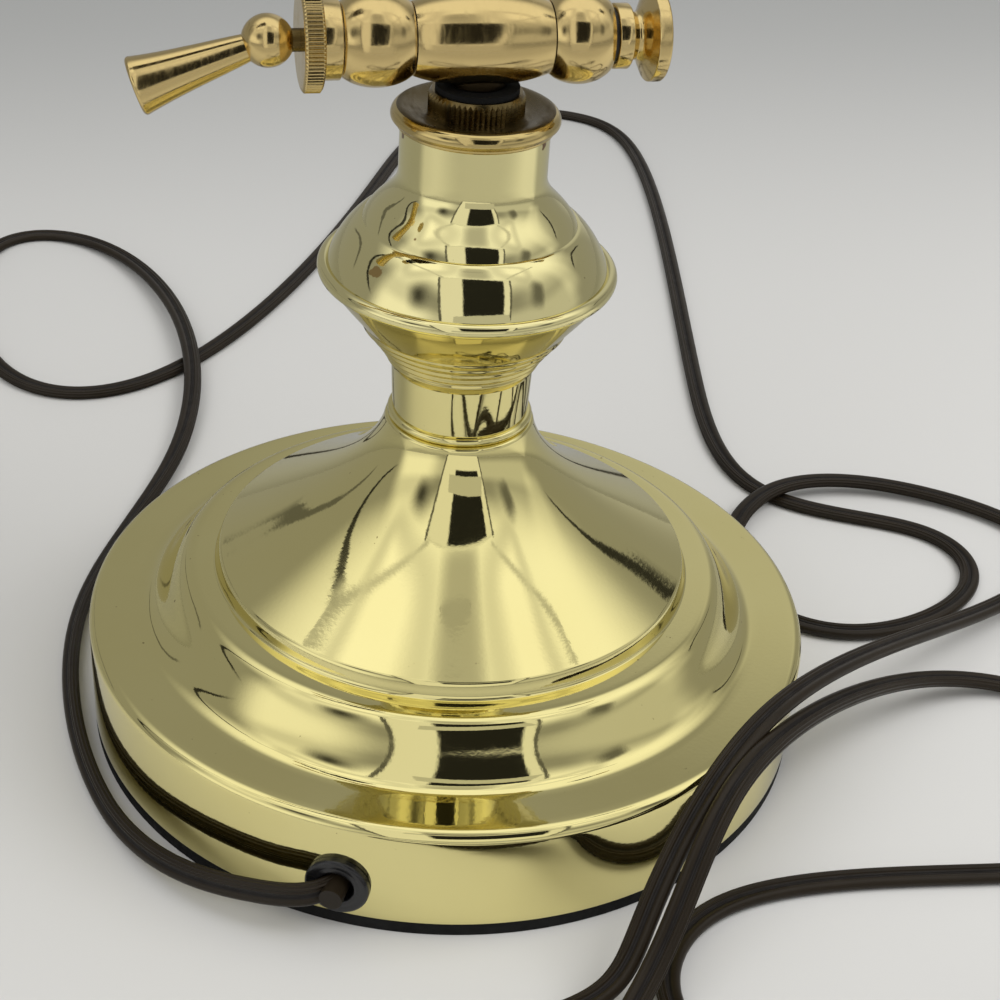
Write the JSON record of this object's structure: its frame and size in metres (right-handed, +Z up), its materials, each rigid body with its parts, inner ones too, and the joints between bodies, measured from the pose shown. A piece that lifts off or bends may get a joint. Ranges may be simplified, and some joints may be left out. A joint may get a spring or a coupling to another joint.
{
  "type": "bankers lamp",
  "caption": "Desk lamp on a weighted round brass base: a turned column, a cross tee with a lever switch, a tilting forked yoke and a tilting green glass trough shade.",
  "frame": {"origin": "centre of the round foot pad's underside, on the table", "axes": "+Z up along the column, +X along the tee towards the clamp knob, -Y the front of the lamp"},
  "size_m": [0.3295, 0.5776, 0.3544],
  "materials": {
    "plated_brass": "polished, lacquered",
    "cast_brass": "satin, aged",
    "iron": "rough cast",
    "black_pad": "matt",
    "black_rubber": "satin",
    "steel": "zinc plated",
    "black_plastic": "moulded",
    "liner_card": "matt",
    "cord_pvc": "satin",
    "opal_glass": "opal",
    "green_glass": "cased, glossy green over white"
  },
  "bodies": {
    "base": {"base_shell": "plated_brass", "base_weight": "iron", "base_pad": "black_pad", "cord_grommet": "black_rubber", "centre_tube": "steel", "pipe_washer": "steel", "pipe_locknut": "steel", "neck_ring": "plated_brass", "neck_sleeve": "plated_brass", "vase_lower": "plated_brass", "vase_upper": "plated_brass", "collar_cap": "cast_brass", "ring_nut": "cast_brass", "seat_washer": "black_rubber", "tee_barrel": "cast_brass", "left_spindle": "steel", "right_spindle": "steel", "switch_body": "black_plastic", "switch_collar": "cast_brass", "switch_nut": "cast_brass", "lead_wires": "cord_pvc", "cord": "cord_pvc", "plug_body": "cord_pvc", "plug_blades": "steel"},
    "yoke": {"yoke_bead_left": "cast_brass", "yoke_bead_right": "cast_brass", "arm_left": "cast_brass", "arm_right": "cast_brass", "pivot_nipple": "steel", "pivot_stud": "steel", "socket_cap": "cast_brass", "socket_shell": "cast_brass", "socket_liner": "liner_card", "socket_core": "black_plastic", "bulb_cap": "steel", "bulb_glass": "opal_glass"},
    "shade": {"shade_glass": "green_glass", "shade_bushing_left": "black_rubber", "shade_bushing_right": "black_rubber"},
    "switch_lever": {"switch_lever": "cast_brass", "switch_shaft": "steel"},
    "clamp_knob": {"clamp_knob": "cast_brass", "clamp_washer": "black_rubber"},
    "shade_knob_left": {"shade_knob_left": "cast_brass"},
    "shade_knob_right": {"shade_knob_right": "cast_brass"}
  },
  "joints": [
    {"name": "yoke_tilt", "type": "hinge", "parent": "base", "child": "yoke", "pos_m": [0, 0, 0.1724], "axis": [1, 0, 0], "range_deg": [-30, 30]},
    {"name": "shade_tilt", "type": "hinge", "parent": "yoke", "child": "shade", "pos_m": [0, 0, 0.2854], "axis": [1, 0, 0], "range_deg": [-45, 45]},
    {"name": "switch_turn", "type": "hinge", "parent": "base", "child": "switch_lever", "pos_m": [0, 0, 0.1724], "axis": [-1, 0, 0], "continuous": true},
    {"name": "clamp_turn", "type": "hinge", "parent": "base", "child": "clamp_knob", "pos_m": [0, 0, 0.1724], "axis": [1, 0, 0], "continuous": true},
    {"name": "shade_knob_left_turn", "type": "hinge", "parent": "yoke", "child": "shade_knob_left", "pos_m": [0, 0, 0.2854], "axis": [-1, 0, 0], "continuous": true},
    {"name": "shade_knob_right_turn", "type": "hinge", "parent": "yoke", "child": "shade_knob_right", "pos_m": [0, 0, 0.2854], "axis": [1, 0, 0], "continuous": true}
  ]
}
